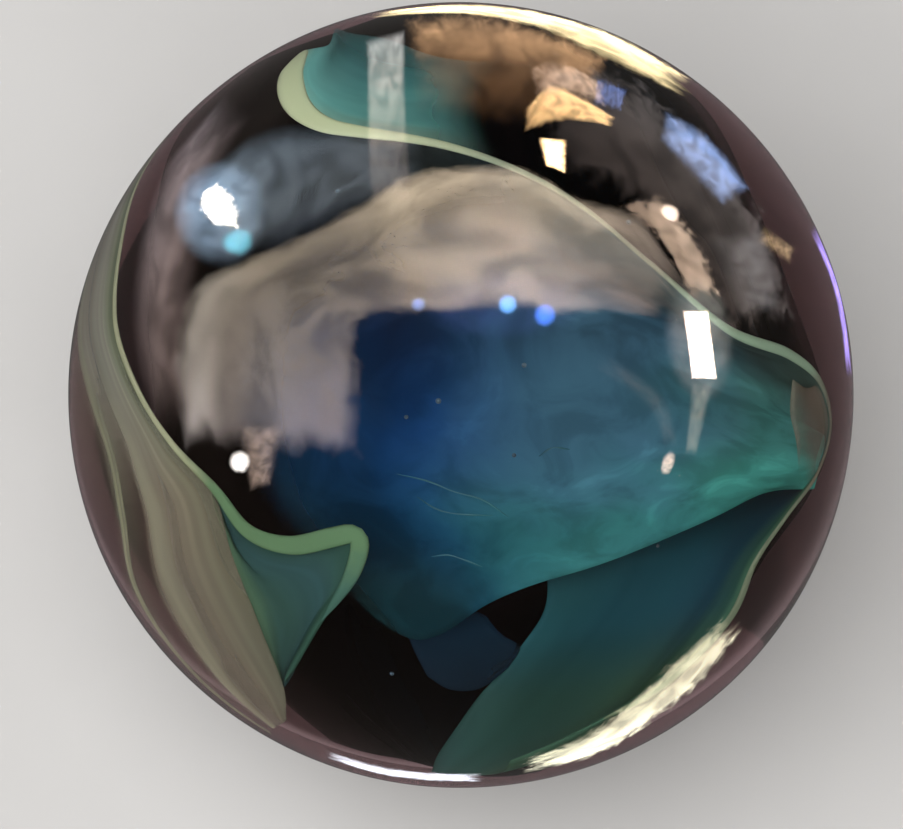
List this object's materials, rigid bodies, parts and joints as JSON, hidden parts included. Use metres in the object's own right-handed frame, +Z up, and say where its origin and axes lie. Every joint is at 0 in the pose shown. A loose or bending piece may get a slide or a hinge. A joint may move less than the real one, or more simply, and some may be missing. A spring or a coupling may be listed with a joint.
{
  "type": "glass marble",
  "caption": "Large solid ball of smoky transparent glass with coloured ribbons fused inside it and a polished, faintly iridescent surface.",
  "frame": {"origin": "centre of the ball", "axes": "+Z up, through the middle of the ball; the ball looks the same along every axis, and -Y is the side seen in the main view"},
  "size_m": [0.05, 0.05, 0.05],
  "materials": {
    "marble_glass": "polished"
  },
  "bodies": {
    "root": {"marble": "marble_glass"}
  },
  "joints": []
}
